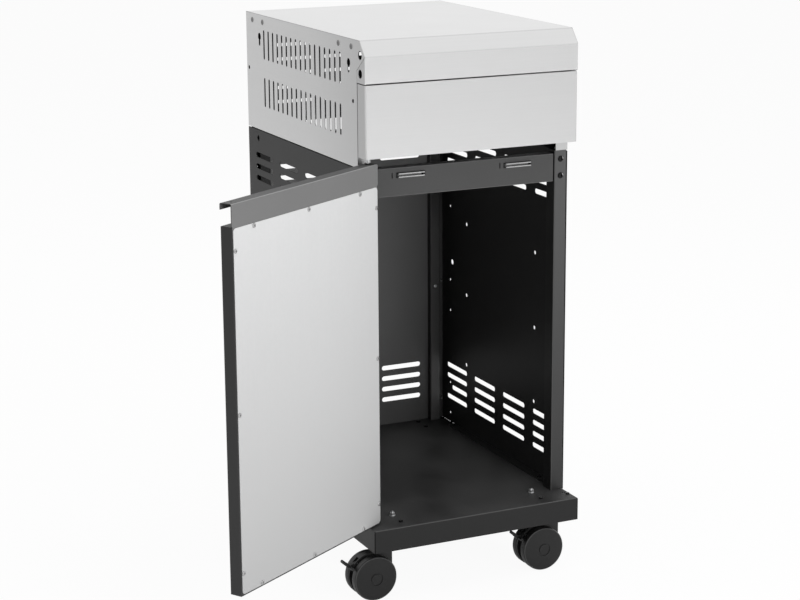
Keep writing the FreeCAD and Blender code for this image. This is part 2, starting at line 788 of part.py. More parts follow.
def door_skin():
    fold = bend + steel
    outside = box(door_left, door_right, door_out, liner_back, door_bottom, pan_top)
    outside = rounded(outside, fold, lambda p: near(p.y, door_out))
    room = (door_left + steel, door_right - steel)
    hollow = box(*room, door_out + steel, liner_back - steel, door_bottom + steel, pan_top - steel)
    hollow = rounded(hollow, bend, lambda p: near(p.y, door_out + steel))
    sill = door_bottom + return_width
    window_x = (door_left + return_width, door_right - return_width)
    window = box(*window_x, liner_back - 2 * steel, liner_back + 1, sill, pan_top)
    tail_z = pan_top - handle_tail - edge_clearance
    tail_room = box(*room, liner_back - steel, liner_back + 1, tail_z, pan_top - steel)
    top_y = (liner_back - steel, liner_back + 1)
    top_room = box(door_left - 1, door_right + 1, *top_y, pan_top - steel, pan_top + 1)
    cuts = [hollow, window, tail_room, top_room]
    cuts.append(bush_hole(door_bottom + steel / 2))
    cuts.append(bush_hole(pan_top - steel / 2))
    cuts += [hole("y", screw_radius, x, z, liner_back - steel, liner_back) for x, z in liner_screw_places()]
    return outside.cut(cuts)


def door_handle():
    tail_z = pan_top - handle_tail
    outline = [
        (liner_back, tail_z),
        (liner_back, handle_top),
        (door_out, handle_top),
        (door_out, handle_top - handle_lip),
    ]
    sheet = folded(outline, steel, handle_bend, "x", door_left, door_right)
    room = door_right - steel - edge_clearance
    cuts = []
    for edge_from, edge_to in ((door_left - 1, -room), (room, door_right + 1)):
        cuts.append(box(edge_from, edge_to, liner_back - 2 * steel, liner_back + 1, tail_z - 1, pan_top))
    cuts.append(bush_hole(handle_top - steel / 2))
    hole_place = (door_right - handle_hole_inset, (door_out + door_in) / 2)
    cuts.append(rod("z", handle_hole_radius, *hole_place, handle_top - 2 * steel, handle_top + 1))
    cuts += [hole("y", screw_radius, x, z, liner_back - steel, liner_back) for x, z in liner_screw_places()]
    return sheet.cut(cuts)


def door_liner():
    edge = door_right - liner_margin
    sheet = box(-edge, edge, liner_back, door_in, door_bottom + liner_margin, pan_top - liner_margin)
    middle = (liner_back + door_in) / 2
    sheet = rounded(sheet, liner_corner, lambda p: near(p.y, middle))
    return sheet.cut([hole("y", screw_radius, x, z, liner_back, door_in) for x, z in liner_screw_places()])


def bush(seat, sleeve_end):
    """A plain bush whose flange sits on the seat and whose sleeve runs on to its end."""
    out = math.copysign(1, seat - sleeve_end)
    rim = seat + out * bush_flange
    flange = rod("z", bush_flange_radius, hinge_x, hinge_y, min(seat, rim), max(seat, rim))
    sleeve = rod("z", bush_radius, hinge_x, hinge_y, min(seat, sleeve_end), max(seat, sleeve_end))
    bore_z = (min(rim, sleeve_end) - 1, max(rim, sleeve_end) + 1)
    bore = rod("z", pin_radius + running_fit, hinge_x, hinge_y, *bore_z)
    return joined(flange, sleeve).cut(bore)


def upper_hinge_pin():
    head = rod("z", pin_head_radius, hinge_x, hinge_y, panel_z + stainless, panel_z + stainless + pin_head)
    shank = rod("z", pin_radius, hinge_x, hinge_y, pan_top - pin_reach, panel_z + stainless)
    return joined(head, shank)


def lower_hinge_pin():
    tip = door_bottom + steel + pin_reach
    pin = rod("z", pin_radius, hinge_x, hinge_y, deck_z - steel, tip)
    return rounded(pin, pin_radius * 0.4, lambda p: near(p.z, tip))


def lower_bush():
    """The lower bush carries the door's edge on the deck, so its flange fills the gap under the door."""
    foot = deck_z + axial_gap
    flange = rod("z", bush_flange_radius, hinge_x, hinge_y, foot, door_bottom)
    sleeve = rod("z", bush_radius, hinge_x, hinge_y, door_bottom, door_bottom + bush_sleeve)
    bore = rod("z", pin_radius + running_fit, hinge_x, hinge_y, foot - 1, door_bottom + bush_sleeve + 1)
    return joined(flange, sleeve).cut(bore)


def caster_plate():
    length = plate_length / 2
    width = plate_width / 2
    plate = box(-length, length, -width, width, plate_z, caster_height)
    corner = (plate_length - plate_bolts_x) / 2
    plate = rounded(plate, corner, lambda p: near(abs(p.x), length) and near(abs(p.y), width))
    race = rod("z", race_radius, 0, 0, race_z, plate_z)
    pin = rod("z", kingpin_radius, 0, 0, neck_z + 2 * axial_gap, race_z)
    bolt_holes = [hole("z", bolt_radius, u, v, plate_z, caster_height) for u, v in plate_corners]
    return joined(plate, race, pin).cut(bolt_holes)


def around(angle, radius):
    """A place round the wheels' axle, by its angle from the front of the wheel's own plane."""
    turn = math.radians(angle)
    return (-caster_trail + radius * math.cos(turn), axle_z + radius * math.sin(turn))


def guard_sector(width):
    reach = wheel_radius + guard_margin
    centre = (-caster_trail, axle_z)
    start = around(guard_from, reach)
    middle = around((guard_from + guard_to) / 2, reach)
    end = around(guard_to, reach)
    a, b, c, d = [at("y", *place, -width / 2) for place in (start, middle, end, centre)]
    edges = [Part.Arc(a, b, c).toShape(), Part.LineSegment(c, d).toShape(), Part.LineSegment(d, a).toShape()]
    return extruded(edges, "y", -width / 2, width / 2)


def caster_hood(with_brake):
    width = wheel_gap - 2 * web_clearance
    neck = rod("z", neck_radius, 0, 0, neck_z, race_z - race_gap)
    web = rod("y", web_radius, -caster_trail, axle_z, -width / 2, width / 2)
    stem = box(-neck_radius, neck_radius, -width / 2, width / 2, axle_z + web_radius / 2, neck_z)
    hood = joined(neck, web, stem, guard_sector(width))
    cuts = [rod("z", kingpin_radius + running_fit, 0, 0, neck_z + axial_gap, race_z + 1)]
    cuts.append(rod("y", axle_radius, -caster_trail, axle_z, -width, width))
    if with_brake:
        pivot = around(lever_pivot_angle, lever_pivot_reach)
        side = lever_width / 2 + lever_slot_clearance
        room_x = (-caster_trail + lever_tip_x, pivot[0] + lever_link_radius + lever_slot_clearance)
        cuts.append(box(*room_x, -side, side, pivot[1] - lever_room_below, pivot[1] + lever_room_above))
        cuts.append(rod("y", lever_pin_radius, *pivot, -width, width))
    return hood.cut(cuts)


def caster_axle():
    end = wheel_outside - axle_inset - axial_gap
    return rod("y", axle_radius, -caster_trail, axle_z, -end, end)


def caster_wheel():
    """One wheel on the rear side of its web: a rounded tread, a domed face with a ring, and a blind bore."""
    inside = wheel_gap / 2
    face = wheel_outside - wheel_dome
    rim = wheel_radius - wheel_shoulder
    ring_in = hub_ring_radius - hub_ring_width / 2
    ring_out = hub_ring_radius + hub_ring_width / 2

    def dome(radius):
        return face + wheel_dome * (1 - (radius / rim) ** 2)

    def spot(radius, y):
        return FreeCAD.Vector(radius, y, 0)

    diagonal = wheel_shoulder * (1 - math.sqrt(0.5))
    bore = axle_radius + running_fit
    stop = wheel_outside - axle_inset
    tread_in = spot(wheel_radius, inside + wheel_shoulder)
    tread_out = spot(wheel_radius, face - wheel_shoulder)
    inner_mid = spot(wheel_radius - diagonal, inside + diagonal)
    outer_mid = spot(wheel_radius - diagonal, face - diagonal)
    outline = [
        Part.LineSegment(spot(0, stop), spot(bore, stop)).toShape(),
        Part.LineSegment(spot(bore, stop), spot(bore, inside)).toShape(),
        Part.LineSegment(spot(bore, inside), spot(rim, inside)).toShape(),
        Part.Arc(spot(rim, inside), inner_mid, tread_in).toShape(),
        Part.LineSegment(tread_in, tread_out).toShape(),
        Part.Arc(tread_out, outer_mid, spot(rim, face)).toShape(),
    ]
    groove = dome(hub_ring_radius) - hub_ring_depth
    half_way = (rim + hub_face_radius) / 2
    dome_mid = spot(half_way, dome(half_way))
    outline.append(Part.Arc(spot(rim, face), dome_mid, spot(ring_out, dome(ring_out))).toShape())
    corners = [
        spot(ring_out, dome(ring_out)),
        spot(ring_out, groove),
        spot(ring_in, groove),
        spot(ring_in, dome(ring_in)),
        spot(0, dome(ring_in)),
        spot(0, stop),
    ]
    outline += [Part.LineSegment(a, b).toShape() for a, b in zip(corners, corners[1:])]
    wheel = Part.Face(Part.Wire(outline)).revolve(FreeCAD.Vector(0, 0, 0), ALONG["y"], 360)
    wheel.translate(FreeCAD.Vector(-caster_trail, 0, axle_z))
    return Part.Solid(wheel.Shells[0]) if not wheel.Solids else wheel.Solids[0]


def brake_lever():
    """A tab between the wheels, bent at its knee, where a bar crosses over both treads."""
    pivot = around(lever_pivot_angle, lever_pivot_reach)
    knee = around(lever_knee_angle, lever_knee_reach)
    tip = (lever_tip_x - caster_trail, lever_tip_z + axle_z)
    side = lever_width / 2
    link = slot("y", pivot, knee, lever_link_radius, -side, side)
    tab = slot("y", knee, tip, lever_tab_radius, -side, side)
    bar = rod("y", brake_bar_radius, *knee, -brake_bar_length / 2, brake_bar_length / 2)
    bore = rod("y", lever_pin_radius + running_fit, *pivot, -wheel_gap, wheel_gap)
    return joined(link, tab, bar).cut(bore)


def brake_pin():
    end = wheel_gap / 2 - web_clearance
    return rod("y", lever_pin_radius, *around(lever_pivot_angle, lever_pivot_reach), -end, end)


def moved(shape, x, y):
    copy = shape.copy()
    copy.translate(FreeCAD.Vector(x, y, 0))
    return copy


def caster_nut(x, y):
    turns = [i * math.pi / 3 for i in range(6)]
    corners = [(x + nut_radius * math.cos(turn), y + nut_radius * math.sin(turn)) for turn in turns]
    nut = prism(corners, "z", plate_z - nut_height, plate_z)
    return nut.cut(rod("z", bolt_radius + running_fit, x, y, plate_z - nut_height - 1, plate_z + 1))


os.makedirs("parts", exist_ok=True)

# Stainless box
save("worktop", worktop())
save_pair("side_panel", side_panel())
save("box_back_panel", box_back_panel())
save("front_panel", front_panel())

# Black cabinet
save_pair("side_wall", side_wall())
save("back_panel", back_panel())
for end, post in (("front", front_post()), ("rear", rear_post())):
    save(end + "_right_post", post)
    save(end + "_left_post", mirrored(post))
save("front_rail", front_rail())
save("base_pan", base_pan())
for piece, shape in zip(("housing", "plates", "magnet"), catch_pieces()):
    save_pair("catch_" + piece, shape)

# Fasteners of the cabinet
rivet = ("x", rivet_radius, rivet_head_radius, rivet_head)
screw_z = ("z", screw_radius, screw_head_radius, screw_head)
screw_y = ("y", screw_radius, screw_head_radius, screw_head)
bolt_z = ("z", bolt_radius, bolt_head_radius, bolt_head)
rail_bolt = ("y", bolt_radius, rail_bolt_head_radius, rail_bolt_head)
rivet_tip = inner_half - 2 * stainless
rivets = [headed(*rivet, y, top_z - rivet_depth, half, rivet_tip) for y in rivet_ys]
save_group("side_rivets", both_sides(rivets))
panel_seat = post_y + stainless
panel_tip = post_y - stainless - screw_radius
panel_screw_zs = [panel_z + height for height in panel_screw_heights]
panel_screws = [headed(*screw_y, panel_screw_x, z, panel_seat, panel_tip) for z in panel_screw_zs]
save_group("panel_screws", both_sides(panel_screws))
box_tip = post_top - steel - bolt_tail
box_bolts = [headed(*bolt_z, x, y, post_top + stainless, box_tip) for x, y in (front_box_bolt, rear_box_bolt)]
save_group("box_bolts", both_sides(box_bolts))
rail_tip = rail_y + steel + bolt_tail
rail_bolts = [headed(*rail_bolt, rail_bolt_x, z, post_y, rail_tip) for z in rail_bolt_zs]
save_group("rail_bolts", both_sides(rail_bolts))
back_seat = back_face + steel
back_tip = back_face - steel - screw_reach
back_screws = [headed(*screw_y, back_screw_x, deck_z + up, back_seat, back_tip) for up in back_screw_heights]
save_group("back_screws", both_sides(back_screws))
foot_tip = deck_z - screw_reach
cabinet_screws = [headed(*screw_z, x, y, deck_z + steel, foot_tip) for x, y in foot_screw_places]
post_screw_tip = rear_post_y + rear_post_depth / 2
post_screw_place = (rear_foot_screw[0], deck_z + post_screw_height)
cabinet_screws.append(headed(*screw_y, *post_screw_place, rear_post_y, post_screw_tip))
save_group("cabinet_screws", both_sides(cabinet_screws))
bolt_tip = plate_z - nut_height - running_fit
save_group("caster_bolts", [headed(*bolt_z, x, y, deck_z, bolt_tip) for x, y in caster_bolt_places])
save_group("caster_nuts", [caster_nut(x, y) for x, y in caster_bolt_places])

# Door and its hinge
save("door_skin", swung_open(door_skin()))
save("door_handle", swung_open(door_handle()))
save("door_liner", swung_open(door_liner()))
liner_tip = liner_back - steel - screw_reach
liner_screws = [headed(*screw_y, x, z, door_in, liner_tip) for x, z in liner_screw_places()]
save_group("liner_screws", [swung_open(screw) for screw in liner_screws])
upper_bushes = [bush(handle_top, handle_top - bush_sleeve), bush(pan_top, pan_top - bush_sleeve)]
save_group("upper_hinge_bushes", [swung_open(piece) for piece in upper_bushes])
save("lower_hinge_bush", swung_open(lower_bush()))
save("upper_hinge_pin", upper_hinge_pin())
save("lower_hinge_pin", lower_hinge_pin())

# Casters
wheel = caster_wheel()
for name, (x, y) in caster_centres.items():
    braked = name.startswith("front")
    save(name + "_caster_plate", moved(caster_plate(), x, y))
    save(name + "_caster_hood", moved(caster_hood(braked), x, y))
    save(name + "_caster_axle", moved(caster_axle(), x, y))
    save(name + "_wheel_back", moved(wheel, x, y))
    save(name + "_wheel_front", moved(wheel.mirror(FreeCAD.Vector(0, 0, 0), ALONG["y"]), x, y))
    if braked:
        save(name + "_brake_lever", moved(brake_lever(), x, y))
        save(name + "_brake_pin", moved(brake_pin(), x, y))
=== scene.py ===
# %% [markdown]
# # An outdoor kitchen cabinet, dressed for its picture
# The cabinet is a stainless box on a black sheet-steel cupboard with an open door, on four casters.
# Its construction comes from CAD as a fixed frame: every sheet, bolt and wheel is in place, in metres.
# This lesson adds what CAD leaves out: the finishes, the shaped fasteners, the turned wheels, the light
# and the camera.

# %% Load the frame
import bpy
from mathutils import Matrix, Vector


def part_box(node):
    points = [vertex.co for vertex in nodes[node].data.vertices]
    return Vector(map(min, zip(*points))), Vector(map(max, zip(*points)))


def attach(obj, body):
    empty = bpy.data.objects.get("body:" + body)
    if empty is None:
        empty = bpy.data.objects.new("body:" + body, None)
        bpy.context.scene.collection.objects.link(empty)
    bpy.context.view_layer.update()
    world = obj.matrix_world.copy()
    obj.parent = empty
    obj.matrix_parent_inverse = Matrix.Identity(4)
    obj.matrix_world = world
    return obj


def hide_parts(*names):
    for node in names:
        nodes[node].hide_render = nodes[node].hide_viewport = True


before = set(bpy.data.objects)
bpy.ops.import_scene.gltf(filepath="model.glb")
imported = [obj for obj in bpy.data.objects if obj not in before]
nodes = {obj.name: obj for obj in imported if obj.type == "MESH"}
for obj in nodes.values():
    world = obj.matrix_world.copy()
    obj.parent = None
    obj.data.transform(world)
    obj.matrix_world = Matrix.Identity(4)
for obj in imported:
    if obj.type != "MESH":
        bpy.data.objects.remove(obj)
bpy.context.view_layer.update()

import math
import bpy
from mathutils import Matrix, Vector

scene = bpy.context.scene

# %% [markdown]
# ## The camera
# The picture was taken from the front left, a little above the worktop, with a long lens that keeps uprights
# nearly parallel. A camera can be aimed with a Track To constraint, but a yaw, a pitch and a slight roll say
# the same thing in plain numbers. The three direction vectors below are the columns of its rotation matrix,
# so no constraint has to be applied.

# %% Camera
camera_place = (-1.48812, -3.16853, 1.3116)
lens = 93.017
yaw = 0.4344
pitch = 0.2446
roll = -0.0067
ahead = Vector((math.sin(yaw) * math.cos(pitch), math.cos(yaw) * math.cos(pitch), -math.sin(pitch)))
sideways = Vector((math.cos(yaw), -math.sin(yaw), 0))
upright = sideways.cross(ahead)
right = sideways * math.cos(roll) + upright * math.sin(roll)
up = upright * math.cos(roll) - sideways * math.sin(roll)

camera_data = bpy.data.cameras.new("studio_camera")
camera_data.lens = lens
camera_data.sensor_width = 36
camera_data.sensor_fit = "HORIZONTAL"
camera_data.clip_end = 200
camera = bpy.data.objects.new("studio_camera", camera_data)
turn = Matrix((right, up, -ahead)).transposed().to_4x4()
camera.matrix_world = Matrix.Translation(camera_place) @ turn
scene.collection.objects.link(camera)
scene.camera = camera
print("camera", [round(n, 3) for n in camera.matrix_world.translation], "lens", round(lens, 1))

# %% [markdown]
# ## Arithmetic with sockets
# A finish mixes many small node sums, and wiring each one by hand hides the idea behind it.
# This class wraps one output socket, so that 0.3 + 0.1 * grain adds the Math nodes by itself.
# Its node method adds any other node: first the settings, then the values or links of the sockets.

# %% The socket class
class Wire:
    def __init__(self, tree, socket=None):
        self.tree = tree
        self.socket = socket

    def node(self, kind, settings=None, sockets=None, out=0):
        made = self.tree.nodes.new("ShaderNode" + kind)
        for name, value in (settings or {}).items():
            if name == "stops":
                ramp = made.color_ramp
                while len(ramp.elements) < len(value):
                    ramp.elements.new(0.5)
                for element, (place, tone) in zip(ramp.elements, value):
                    element.position = place
                    element.color = (tone, tone, tone, 1)
            else:
                setattr(made, name, value)
        for name, value in (sockets or {}).items():
            if isinstance(value, Wire):
                self.tree.links.new(value.socket, made.inputs[name])
            else:
                made.inputs[name].default_value = value
        return Wire(self.tree, made.outputs[out] if made.outputs else None)

    def maths(self, operation, first, second=0.0):
        return self.node("Math", {"operation": operation}, {0: first, 1: second})

    def __add__(self, other):
        return self.maths("ADD", self, other)

    def __radd__(self, other):
        return self.maths("ADD", other, self)

    def __sub__(self, other):
        return self.maths("SUBTRACT", self, other)

    def __rsub__(self, other):
        return self.maths("SUBTRACT", other, self)

    def __mul__(self, other):
        return self.maths("MULTIPLY", self, other)

    def __rmul__(self, other):
        return self.maths("MULTIPLY", other, self)

    def __abs__(self):
        return self.maths("ABSOLUTE", self)

    def larger(self, other):
        return self.maths("MAXIMUM", self, other)

    def ramp(self, *stops):
        return self.node("ValToRGB", {"stops": stops}, {"Fac": self})

    def part(self, axis):
        return self.node("SeparateXYZ", None, {"Vector": self}, axis)

    def dot(self, way):
        return self.node("VectorMath", {"operation": "DOT_PRODUCT"}, {0: self, 1: way}, "Value")

    def between(self, first, second):
        """A colour that goes from the first to the second as this socket goes from 0 to 1."""
        start = first if isinstance(first, Wire) else (*first, 1)
        end = second if isinstance(second, Wire) else (*second, 1)
        return self.node("Mix", {"data_type": "RGBA"}, {0: self, 6: start, 7: end}, 2)

    def noise(self, scale, detail=2.0, roughness=0.5):
        sockets = {"Vector": self, "Scale": scale, "Detail": detail, "Roughness": roughness}
        return self.node("TexNoise", None, sockets, "Fac")

    def stretched(self, scale):
        return self.node("Mapping", None, {"Vector": self, "Scale": scale})

    def bump(self, strength, distance):
        return self.node("Bump", None, {"Strength": strength, "Distance": distance, "Height": self})


def grey(value, warmth=0.0):
    return (value * (1 + warmth), value, value * (1 - warmth))


print("socket arithmetic is ready")

# %% [markdown]
# ## The floor
# The cabinet stands in a bright studio whose floor and walls are so pale that nothing of them is seen.
# More lamp power would burn out the metal, so the floor keeps a plain pale colour and gets white help only
# where the camera or a reflection looks at it. Part of its own shading is left in, which keeps the cabinet's
# soft shadow.

# %% Floor
camera_help = 0.94
mirror_help = 0.35
white_colour = (1, 1, 1, 1)

bpy.ops.object.select_all(action="DESELECT")
bpy.ops.mesh.primitive_plane_add(size=80, location=(0, 10, 0))
floor = bpy.context.object
floor.name = "studio_floor"

floor_paint = bpy.data.materials.new("studio_floor")
floor_paint.use_nodes = True
floor_paint.node_tree.nodes.clear()
wire = Wire(floor_paint.node_tree)
seen = wire.node("LightPath", out="Is Camera Ray")
mirrored = wire.node("LightPath", out="Is Glossy Ray") + wire.node("LightPath", out="Is Transmission Ray")
white = wire.node("Emission", None, {"Color": white_colour, "Strength": 1.0})
paint = wire.node("BsdfDiffuse", None, {"Color": (0.85, 0.85, 0.85, 1)})
share = seen * camera_help + mirrored * mirror_help
helped = wire.node("MixShader", None, {0: share, 1: paint, 2: white})
wire.node("OutputMaterial", None, {"Surface": helped})
floor.data.materials.append(floor_paint)
print("floor", floor.dimensions[:2])

# %% [markdown]
# ## The light
# A white world gives even light from all sides, and softboxes above and in front shape the sheets a little.
# In brushed metal such big boxes would burn out in spots, so reflections leave them out. One small lamp at the
# right stays in, and puts a glint on round screw heads.

# %% World and lamps
world_light = 0.5
world = bpy.data.worlds.new("studio_world")
scene.world = world
world.use_nodes = True
world.node_tree.nodes.clear()
wire = Wire(world.node_tree)
seen = wire.node("LightPath", out="Is Camera Ray") + wire.node("LightPath", out="Is Glossy Ray")
seen = seen + wire.node("LightPath", out="Is Transmission Ray")
strength = world_light + seen * (1 - world_light)
sky = wire.node("Background", None, {"Color": white_colour, "Strength": strength})
wire.node("OutputWorld", None, {"Surface": sky})


def softbox(name, place, target, width, height, power, in_mirrors=False):
    lamp_data = bpy.data.lights.new(name, "AREA")
    lamp_data.shape = "RECTANGLE"
    lamp_data.size = width
    lamp_data.size_y = height
    lamp_data.energy = power
    lamp = bpy.data.objects.new(name, lamp_data)
    aim = Vector(target) - Vector(place)
    lamp.matrix_world = Matrix.Translation(place) @ aim.to_track_quat("-Z", "Y").to_matrix().to_4x4()
    lamp.visible_camera = False
    lamp.visible_glossy = in_mirrors
    scene.collection.objects.link(lamp)


softbox("ceiling_softbox", (0.2, -0.2, 3.4), (0, 0, 0.5), 4.5, 4.5, power=75)
softbox("front_softbox", (1.0, -3.6, 1.0), (0, -0.2, 0.5), 2.0, 2.0, power=75)
softbox("rear_left_softbox", (-2.4, 3.0, 1.6), (0, 0, 0.7), 1.6, 1.6, power=8)
softbox("right_glint", (2.6, 0.4, 0.9), (0, 0, 0.5), 0.5, 0.9, power=4, in_mirrors=True)
scene.view_settings.view_transform = "Standard"

# %% [markdown]
# ## Starting a finish
# Every finish below is a node material that reads the piece's own coordinates and normals, so that a pattern
# stays on its piece when the door or a wheel turns. Small helpers start a material, close it with one
# Principled shader, and hang it on CAD pieces.

# %% Helpers for finishes
def finish(name):
    """A new empty material, a wire in it, and the place in the piece's own frame."""
    material = bpy.data.materials.new(name)
    material.use_nodes = True
    material.node_tree.nodes.clear()
    wire = Wire(material.node_tree)
    return material, wire, wire.node("TexCoord", out="Object")


def normals(wire):
    """The way that each face looks, also in the piece's own frame."""
    return wire.node("TexCoord", out="Normal")


def close(wire, sockets):
    shader = wire.node("BsdfPrincipled", None, sockets)
    wire.node("OutputMaterial", None, {"Surface": shader})


def dress(material, *names):
    for name in names:
        nodes[name].data.materials.clear()
        nodes[name].data.materials.append(material)
    print(material.name, "on", ", ".join(names))


print("helpers for finishes are ready")

# %% [markdown]
# ## Brushed stainless steel
# The worktop, its sides and the front panel are brushed: long fine scratches run one way, along each sheet.
# A picture of the metal would show them at one size only, so they are noise stretched in object space, at two
# widths. The scratches vary colour, roughness and a shallow bump together, and soft smudges keep big faces
# from looking flat. Thin darker lines of painted shade mark the worktop's folds and the seam above the sides.
# The sides get painted shade that grows towards the front, and end faces that look along X get painted shade
# too. Faces that look into the box are painted nearly black as painted shade, and a product of the normal and
# the place finds them.

# %% Stainless
worktop_low, worktop_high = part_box("worktop")
worktop_depth = worktop_high[1] - worktop_low[1]
box_middle = (0.0, (worktop_low[1] + worktop_high[1]) / 2, worktop_high[2] - 0.1)
side_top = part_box("left_side_panel")[1][2]
chamfer_run = 0.020
chamfer_drop = 0.024
line_reach = 1 / 600


def line_along(distance, strength):
    """A mask that has its strength where the distance is nought and fades out within a line's reach."""
    return (distance * (1 / line_reach)).ramp((0.0, strength), (1.0, 0.0))


def brushed_stainless(name, along, base=0.70, painted_fold_lines=False, painted_side_shade=False):
    material, wire, place = finish(name)
    facing = normals(wire)
    fine = [1100.0, 1100.0, 1100.0]
    broad = [120.0, 120.0, 120.0]
    fine[along] = 7.0
    broad[along] = 2.0
    scratches = place.stretched(fine).noise(1.0, 2.0)
    bands = place.stretched(broad).noise(1.0, 3.0, 0.6)
    smudges = place.noise(7.0, 3.0).ramp((0.35, 0.0), (0.75, 1.0))
    grain = scratches * 0.65 + bands * 0.35
    tone = grain.between(grey(base * 0.96, -0.003), grey(base * 1.04, 0.001))
    tone = (smudges * 0.06).between(tone, grey(base * 0.86))
    # Painted shade: thin darker lines along the chamfer's two folds.
    if painted_fold_lines:
        upper_fold = place.part("Y") - (worktop_low[1] + chamfer_run)
        lower_fold = place.part("Z") - (worktop_high[2] - chamfer_drop)
        tone = line_along(abs(upper_fold), 0.3).between(tone, grey(base * 0.45))
        tone = line_along(abs(lower_fold), 0.16).between(tone, grey(base * 0.45))
    # Painted shade: a dark line along the seam at the top of the sides, and sides darker towards the front.
    if painted_side_shade:
        tone = line_along(side_top - place.part("Z"), 0.6).between(tone, grey(base * 0.3))
        front = (worktop_high[1] - place.part("Y")) * (1 / worktop_depth)
        tone = front.ramp((0.0, 0.0), (0.55, 0.16), (1.0, 0.52)).between(tone, grey(base * 0.55))
    else:
        # Painted shade on end faces that look along X.
        end_shade = abs(facing.part("X")).ramp((0.9, 0.0), (0.97, 1.0))
        tone = (end_shade * 0.55).between(tone, grey(base * 0.55))
    # Painted shade: faces that look into the box are painted nearly black.
    from_middle = wire.node("VectorMath", {"operation": "SUBTRACT"}, {0: place, 1: box_middle})
    inside_shade = (facing.dot(from_middle) * -60.0).ramp((0.0, 0.0), (1.0, 1.0))
    tone = inside_shade.between(tone, grey(0.025))
    roughness = 0.28 + grain * 0.10 + smudges * 0.05 + inside_shade * 0.2
    relief = scratches.bump(0.10, 0.0002)
    close(wire, {"Base Color": tone, "Metallic": 1.0, "Roughness": roughness, "Normal": relief})
    return material


# The three sheets get different bases, which paints part of the light that each of them gets.
dress(brushed_stainless("stainless_worktop", 0, 0.74, painted_fold_lines=True), "worktop")
dress(brushed_stainless("stainless_grain_across", 0), "front_panel", "box_back_panel")
dress(brushed_stainless("stainless_sides", 1, 0.76, painted_side_shade=True), "left_side_panel", "right_side_panel")

# %% [markdown]
# ## Painted light at edges
# The cupboard has a black powder coat, a baked plastic skin. One flat black would lose every edge, so two
# masks find the places where light and shade are painted into the coat. Folds get a painted highlight, a
# paler tone: a fold is where the normal is far from the sheet's own three directions. Where two sheets meet,
# painted shade darkens the open joint between them, and it is found by its distance from the cabinet's middle.

# %% Masks for folds and joints
def fold_mask(facing, level_only):
    """1 on folds, or only on folds that also look up or down."""
    squarest = abs(facing.part("X")).larger(abs(facing.part("Y"))).larger(abs(facing.part("Z")))
    folds = squarest.ramp((0.86, 1.0), (0.97, 0.0))
    if level_only:
        folds = folds * abs(facing.part("Z")).ramp((0.15, 0.0), (0.3, 1.0))
    return folds


def beyond(coordinate, distance):
    """1 where a coordinate is more than a distance from the middle, sharp within a millimetre."""
    return ((abs(coordinate) - distance) * 1000.0).ramp((0.0, 0.0), (0.7, 1.0))


def joint_shade_mask(place, across, along):
    return beyond(place.part("X"), across) * beyond(place.part("Y"), along)


print("masks for folds and joints are ready")

# %% [markdown]
# ## Black powder coat
# The skin has a fine orange peel and a soft gloss, which are two sizes of noise in a shallow bump. A sheet can
# have one face with painted light, a paler tone where the lamps fall, and that painted light can fade along its
# height. A little pale dust settles on faces that look up. On a bolt's head one shoulder gets a painted glint,
# bright bare metal where a lamp would shine.
# The door's normals are first turned back by the angle that the door is open.

# %% Powder coat
def powder_coat(name, tone, rough=0.38, gloss=0.45, dusty=0.25, turned_by=0.0, painted_lit_face=None, light_fade=None,
                fold_highlight=None, level_folds=False, joint_shade_at=None, painted_glint=None):
    material, wire, place = finish(name)
    facing = normals(wire)
    if turned_by:
        turning = {"Vector": facing, "Angle": turned_by}
        facing = wire.node("VectorRotate", {"rotation_type": "Z_AXIS"}, turning)
    peel = place.noise(900.0, 1.0)
    waves = place.noise(160.0, 2.0)
    patches = place.noise(9.0, 3.0)
    colour = (peel * 0.5 + patches * 0.5).between(grey(tone * 0.8), grey(tone * 1.2))
    # Painted light: the face that looks one way is paler, and that painted light can fade with height.
    if painted_lit_face:
        way, lit_tone = painted_lit_face
        lit_share = facing.dot(way).ramp((0.9, 0.0), (0.97, 1.0))
        if light_fade:
            lit_share = lit_share * place.part("Z").ramp(*light_fade)
        lit_paint = patches.between(grey(lit_tone * 0.92), grey(lit_tone * 1.08))
        colour = lit_share.between(colour, lit_paint)
    looks_up = facing.part("Z").ramp((0.6, 0.0), (1.0, 1.0))
    dust = looks_up * patches.ramp((0.35, 0.2), (0.8, 1.0)) * dusty
    colour = dust.between(colour, grey(tone + 0.06))
    # Painted highlight: folds get a paler tone, as if they caught the light.
    strength, highlight_tone = fold_highlight or (0.6, tone * 1.5 + 0.1)
    colour = (fold_mask(facing, level_folds) * strength).between(colour, grey(highlight_tone))
    sockets = {"Base Color": colour, "Roughness": rough + peel * 0.10 + dust * 0.3}
    sockets["Normal"] = (peel * 0.6 + waves * 0.4).bump(0.16, 0.0003)
    sockets["Specular IOR Level"] = gloss
    # Painted shade: a nearly black band stands for the shade in an open joint.
    if joint_shade_at:
        joint_shade = joint_shade_mask(place, *joint_shade_at)
        sockets["Base Color"] = joint_shade.between(colour, grey(0.003))
        sockets["Metallic"] = joint_shade
    # Painted glint: shoulders that face one way are bright bare metal.
    if painted_glint:
        glint_mask = facing.dot(painted_glint).ramp((0.9, 0.0), (0.96, 1.0))
        sockets["Base Color"] = glint_mask.between(colour, grey(0.75))
        sockets["Metallic"] = glint_mask
    close(wire, sockets)
    return material


print("the powder coat's recipe is ready")

# %% [markdown]
# ## The cupboard's coats
# One material could serve all sheets, but each kind gets its own mix, and its tone paints part of the light and
# shade that falls on that sheet. The forward faces of the front posts and the back panel get painted light that
# grows towards the top, and those of the rear posts get painted light towards the foot. The front rail ends in
# an open joint beside the posts, and the base pan's skirts in one at each corner; painted shade darkens them.

# %% Coats on the cupboard
forward = (0, -1, 0)
# Widths of the painted shade in the rail's joints and in the skirts' corner joints.
rail_shade_width = 0.0025
skirt_shade_width = 0.0015
posts_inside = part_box("front_right_post")[0][0]
base_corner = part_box("base_pan")[1]

